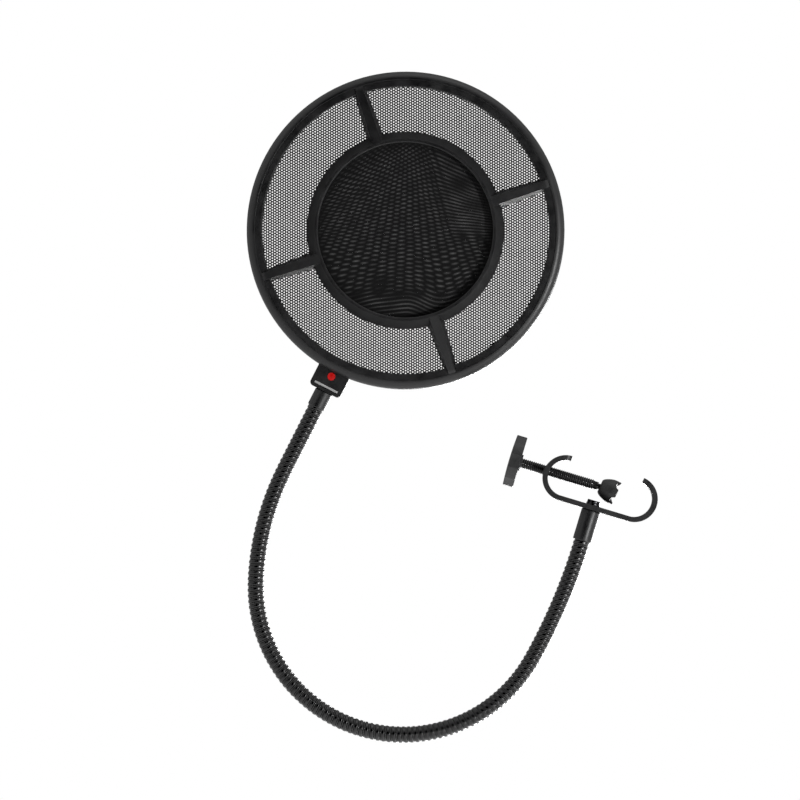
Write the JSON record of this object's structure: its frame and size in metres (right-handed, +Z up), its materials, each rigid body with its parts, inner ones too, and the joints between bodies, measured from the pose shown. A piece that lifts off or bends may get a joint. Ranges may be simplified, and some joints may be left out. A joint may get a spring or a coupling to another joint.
{
  "type": "pop filter",
  "caption": "Round two-layer pop filter, metal mesh with a nylon centre, on a bendable gooseneck with a hooked screw clamp for a microphone boom tube.",
  "frame": {"origin": "centre of the tube seat in the clamp's hook, on the strip's mid-width", "axes": "+X right and +Z up as the talker sees the screen; +Y away from the talker, along the boom tube's seat"},
  "size_m": [0.2002, 0.0242, 0.3269],
  "materials": {
    "frame_plastic": "fine textured satin",
    "screen_metal": "semi-gloss powder coat",
    "nylon": "fine open knit",
    "hoop_plastic": "matte",
    "gooseneck": "black chrome-like gloss",
    "ferrule_metal": "satin black",
    "strip_metal": "satin black powder coat",
    "black_steel": "black oxide",
    "knob_plastic": "satin",
    "pad_rubber": "matte",
    "socket_plastic": "smooth",
    "insert_brass": "turned",
    "mark_red": "printed inlay",
    "mark_pale": "printed inlay"
  },
  "bodies": {
    "clamp": {"clamp_bracket": "strip_metal", "foot_ferrule": "ferrule_metal", "spring_washer": "black_steel", "bracket_bolt": "black_steel", "neck_link_01": "gooseneck"},
    "neck_02": {"neck_link_02": "gooseneck"},
    "neck_03": {"neck_link_03": "gooseneck"},
    "neck_04": {"neck_link_04": "gooseneck"},
    "neck_05": {"neck_link_05": "gooseneck"},
    "neck_06": {"neck_link_06": "gooseneck"},
    "neck_07": {"neck_link_07": "gooseneck"},
    "neck_08": {"neck_link_08": "gooseneck"},
    "neck_09": {"neck_link_09": "gooseneck"},
    "neck_10": {"neck_link_10": "gooseneck"},
    "screen": {"neck_link_11": "gooseneck", "top_ferrule": "ferrule_metal", "stem_insert": "insert_brass", "front_frame": "frame_plastic", "back_frame": "frame_plastic", "metal_screen": "screen_metal", "nylon_front": "nylon", "nylon_back": "nylon", "nylon_hoop": "hoop_plastic", "frame_screws": "black_steel", "mark_dot": "mark_red", "mark_bar": "mark_pale"},
    "screw_carrier": {"thrust_washer": "socket_plastic"},
    "screw": {"clamp_screw": "black_steel", "clamp_knob": "knob_plastic", "knob_nut": "black_steel"},
    "pad_socket": {"pad_socket": "socket_plastic"},
    "pad": {"pad_cap": "pad_rubber"}
  },
  "joints": [
    {"name": "neck_bend_01", "type": "hinge", "parent": "clamp", "child": "neck_02", "pos_m": [-0.03619, 0, -0.04996], "axis": [0, 1, 0], "range_deg": [-26, 8]},
    {"name": "neck_bend_02", "type": "hinge", "parent": "neck_02", "child": "neck_03", "pos_m": [-0.05, 0, -0.07814], "axis": [-0.8722, 0, 0.4891], "range_deg": [-25, 25]},
    {"name": "neck_bend_03", "type": "hinge", "parent": "neck_03", "child": "neck_04", "pos_m": [-0.07076, 0, -0.10137], "axis": [0, 1, 0], "range_deg": [-26, 8]},
    {"name": "neck_bend_04", "type": "hinge", "parent": "neck_04", "child": "neck_05", "pos_m": [-0.09939, 0, -0.11364], "axis": [0, 1, 0], "range_deg": [-26, 8]},
    {"name": "neck_bend_05", "type": "hinge", "parent": "neck_05", "child": "neck_06", "pos_m": [-0.13053, 0, -0.11265], "axis": [0.2474, 0, 0.9689], "range_deg": [-25, 25]},
    {"name": "neck_bend_06", "type": "hinge", "parent": "neck_06", "child": "neck_07", "pos_m": [-0.15832, 0, -0.09859], "axis": [0, 1, 0], "range_deg": [-26, 8]},
    {"name": "neck_bend_07", "type": "hinge", "parent": "neck_07", "child": "neck_08", "pos_m": [-0.17757, 0, -0.07409], "axis": [0, 1, 0], "range_deg": [-26, 8]},
    {"name": "neck_bend_08", "type": "hinge", "parent": "neck_08", "child": "neck_09", "pos_m": [-0.18465, 0, -0.04376], "axis": [-0.9999, 0, -0.011], "range_deg": [-25, 25]},
    {"name": "neck_bend_09", "type": "hinge", "parent": "neck_09", "child": "neck_10", "pos_m": [-0.18066, 0, -0.01269], "axis": [0, 1, 0], "range_deg": [-26, 8]},
    {"name": "neck_bend_10", "type": "hinge", "parent": "neck_10", "child": "screen", "pos_m": [-0.16947, 0, 0.01657], "axis": [0, 1, 0], "range_deg": [-26, 8]},
    {"name": "screw_travel", "type": "slide", "parent": "clamp", "child": "screw_carrier", "axis": [0.9573, 0, -0.289], "range_m": [-0.0212, 0.0105]},
    {"name": "screw_turn", "type": "hinge", "parent": "screw_carrier", "child": "screw", "pos_m": [-0.01458, 0, 0.00534], "axis": [0.9573, 0, -0.289], "range_deg": [-7680, 3816]},
    {"name": "pad_swivel", "type": "hinge", "parent": "screw_carrier", "child": "pad_socket", "pos_m": [-0.01458, 0, 0.00534], "axis": [0.9573, 0, -0.289], "continuous": true},
    {"name": "pad_tilt", "type": "hinge", "parent": "pad_socket", "child": "pad", "pos_m": [-0.01458, 0, 0.00534], "axis": [0, 1, 0], "range_deg": [-20, 4]}
  ],
  "couplings": [
    {"joint": "screw_turn", "follows": "screw_travel", "rad_per_m": 6283.2}
  ]
}
